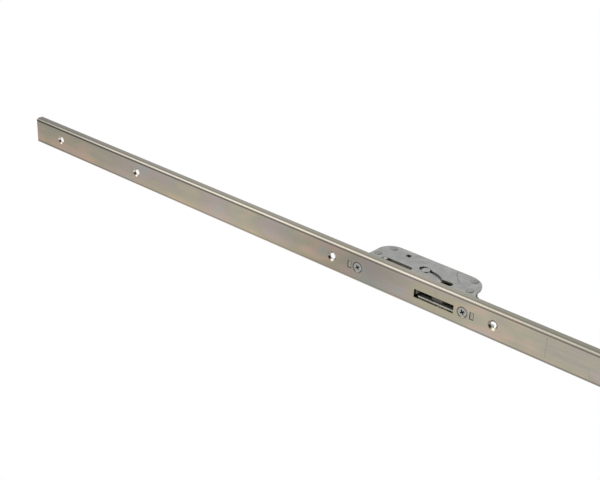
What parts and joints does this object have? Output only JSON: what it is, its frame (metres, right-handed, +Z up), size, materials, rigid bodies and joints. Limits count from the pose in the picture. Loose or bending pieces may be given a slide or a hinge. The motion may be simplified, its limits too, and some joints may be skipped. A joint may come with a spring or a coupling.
{
  "type": "multipoint door lock",
  "caption": "Multipoint door lock on a long channel rail: swing hooks above and below a main case with latch, deadbolt, handle hub and cylinder gear, all driven by sliding rods.",
  "frame": {"origin": "centre of the handle follower's square socket, on its axis, midway through the lock's thickness", "axes": "+X across the rail, out of the side with the riveted covers; +Y into the door, away from the rail's face; +Z up along the rail, towards the end that the picture shows"},
  "size_m": [0.025, 0.063, 2.17],
  "materials": {
    "rail_steel": "zinc-plated steel with a faint iridescent passivation, rolled channel",
    "screw_steel": "bright zinc-plated countersunk screws",
    "keeper_plastic": "black moulded keepers",
    "rod_steel": "zinc-plated flat steel bar",
    "slider_steel": "zinc-plated steel plate",
    "case_steel": "matt light grey galvanised sheet",
    "rivet_steel": "matt light grey rivets",
    "follower_brass": "cast hub, dull",
    "bolt_steel": "nickel-plated bolts",
    "hook_steel": "hardened steel hook",
    "spring_steel": "bright spring wire",
    "gear_steel": "sintered steel gear",
    "pin_steel": "bright turned pins"
  },
  "bodies": {
    "lock_body": {"faceplate": "rail_steel", "case_screws": "screw_steel", "rod_keepers": "keeper_plastic", "main_case_tray": "case_steel", "main_case_cover": "case_steel", "main_case_rivets": "rivet_steel", "gear_stud": "pin_steel", "latch_spring": "spring_steel", "upper_case_tray": "case_steel", "upper_case_cover": "case_steel", "upper_case_rivets": "rivet_steel", "upper_hook_pivot": "pin_steel", "lower_case_tray": "case_steel", "lower_case_cover": "case_steel", "lower_case_rivets": "rivet_steel", "lower_hook_pivot": "pin_steel"},
    "drive": {"upper_rod": "rod_steel", "lower_rod": "rod_steel", "drive_plate": "slider_steel", "upper_slider": "slider_steel", "upper_slider_pin": "pin_steel", "lower_slider": "slider_steel", "lower_slider_pin": "pin_steel"},
    "upper_hook_body": {"upper_hook": "hook_steel", "upper_guide_pin": "pin_steel"},
    "lower_hook_body": {"lower_hook": "hook_steel", "lower_guide_pin": "pin_steel"},
    "follower_body": {"follower": "follower_brass"},
    "latch": {"latch_bolt": "bolt_steel", "latch_tail": "slider_steel"},
    "deadbolt_body": {"deadbolt": "bolt_steel", "deadbolt_pin": "pin_steel"},
    "gear": {"drive_gear": "gear_steel"}
  },
  "joints": [
    {"name": "drive_slide", "type": "slide", "parent": "lock_body", "child": "drive", "axis": [0, 0, -1], "range_m": [0, 0.02]},
    {"name": "upper_hook_swing", "type": "hinge", "parent": "lock_body", "child": "upper_hook_body", "pos_m": [0, -0.0274, 0.662], "axis": [-1, 0, 0], "range_deg": [0, 80]},
    {"name": "lower_hook_swing", "type": "hinge", "parent": "lock_body", "child": "lower_hook_body", "pos_m": [0, -0.0274, -0.738], "axis": [-1, 0, 0], "range_deg": [0, 80]},
    {"name": "deadbolt_slide", "type": "slide", "parent": "lock_body", "child": "deadbolt_body", "axis": [0, -1, 0], "range_m": [0, 0.02]},
    {"name": "gear_turn", "type": "hinge", "parent": "lock_body", "child": "gear", "pos_m": [0, -0.0135, -0.073], "axis": [1, 0, 0], "range_deg": [0, 127.33]},
    {"name": "follower_turn", "type": "hinge", "parent": "lock_body", "child": "follower_body", "pos_m": [0, 0, 0], "axis": [-1, 0, 0], "range_deg": [0, 35], "stiffness_Nm_per_rad": 0.0965, "springref_deg": -46.67},
    {"name": "latch_slide", "type": "slide", "parent": "lock_body", "child": "latch", "axis": [0, 1, 0], "range_m": [0, 0.012], "deforming": ["latch_spring"]}
  ],
  "couplings": [
    {"joint": "upper_hook_swing", "follows": "drive_slide", "rad_per_m": 69.813},
    {"joint": "lower_hook_swing", "follows": "drive_slide", "rad_per_m": 69.813},
    {"joint": "deadbolt_slide", "follows": "drive_slide", "ratio": 1},
    {"joint": "gear_turn", "follows": "drive_slide", "rad_per_m": 111.11},
    {"joint": "latch_slide", "follows": "follower_turn", "m_per_rad": 0.019644}
  ]
}
